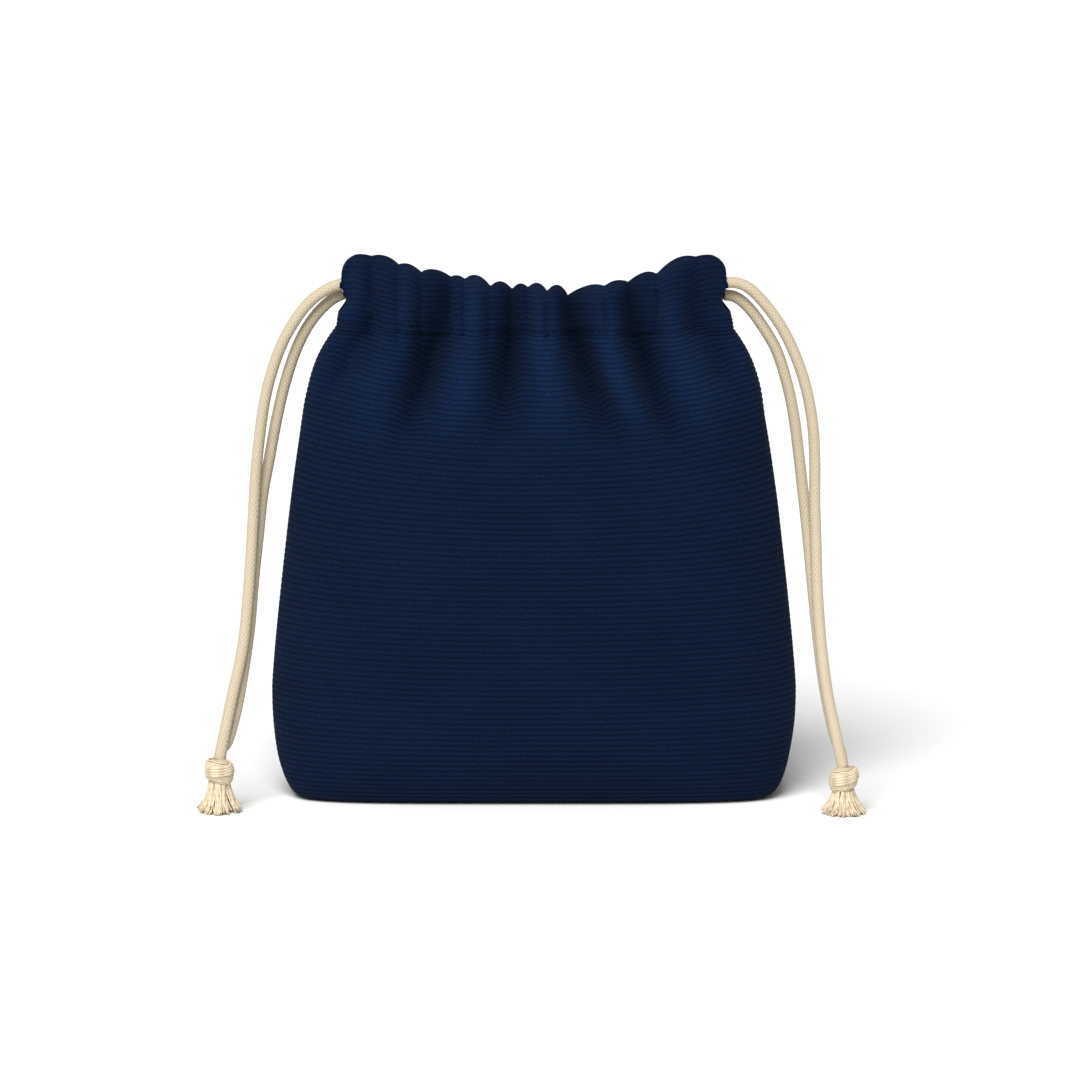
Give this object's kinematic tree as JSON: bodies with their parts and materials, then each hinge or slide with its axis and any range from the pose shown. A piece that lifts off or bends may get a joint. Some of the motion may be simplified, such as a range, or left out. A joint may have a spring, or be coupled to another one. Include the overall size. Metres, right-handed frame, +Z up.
{
  "type": "drawstring gift pouch",
  "caption": "Soft ribbed pouch on a flat base with a gathered mouth, closed by two rope drawcords that leave its top corners and end in knots with frayed ends.",
  "frame": {"origin": "middle of the flat base, on the surface that the pouch stands on", "axes": "+X across the front towards the right-hand cord, +Y from front to back, +Z up"},
  "size_m": [0.287, 0.1057, 0.2329],
  "materials": {
    "ribbed_cotton": "ribbed weave, matt",
    "seam_allowance": "overlocked edge, matt",
    "sewing_thread": "spun polyester",
    "cotton_rope": "braided natural cotton",
    "frayed_cotton": "loose natural cotton strands"
  },
  "bodies": {
    "pouch": {"base_panel": "ribbed_cotton", "base_seam": "seam_allowance", "front_panel": "ribbed_cotton", "back_panel": "ribbed_cotton", "left_side_seam": "seam_allowance", "right_side_seam": "seam_allowance", "front_casing": "ribbed_cotton", "back_casing": "ribbed_cotton", "front_casing_stitching": "sewing_thread", "back_casing_stitching": "sewing_thread"},
    "left_drawcord": {"left_cord_loop": "cotton_rope", "right_upper_bartack": "sewing_thread", "right_lower_bartack": "sewing_thread"},
    "right_drawcord": {"right_cord_loop": "cotton_rope", "left_upper_bartack": "sewing_thread", "left_lower_bartack": "sewing_thread"},
    "left_tails": {"left_front_tail": "cotton_rope", "left_back_tail": "cotton_rope", "left_knot": "cotton_rope", "left_tassel": "frayed_cotton"},
    "right_tails": {"right_front_tail": "cotton_rope", "right_back_tail": "cotton_rope", "right_knot": "cotton_rope", "right_tassel": "frayed_cotton"}
  },
  "joints": [
    {"name": "left_draw", "type": "slide", "parent": "pouch", "child": "left_drawcord", "axis": [-1, 0, 0], "range_m": [0, 0.025], "deforming": ["front_casing", "back_casing", "front_casing_stitching", "back_casing_stitching"]},
    {"name": "right_draw", "type": "slide", "parent": "left_drawcord", "child": "right_drawcord", "axis": [1, 0, 0], "range_m": [0, 0.05]},
    {"name": "left_swing", "type": "hinge", "parent": "left_drawcord", "child": "left_tails", "pos_m": [-0.0805, 0, 0.219], "axis": [0, 1, 0], "range_deg": [0, 60], "deforming": ["left_front_tail", "left_back_tail"]},
    {"name": "right_swing", "type": "hinge", "parent": "right_drawcord", "child": "right_tails", "pos_m": [0.0805, 0, 0.219], "axis": [0, -1, 0], "range_deg": [0, 60], "deforming": ["right_front_tail", "right_back_tail"]}
  ],
  "couplings": [
    {"joint": "right_draw", "follows": "left_draw", "ratio": 2}
  ]
}
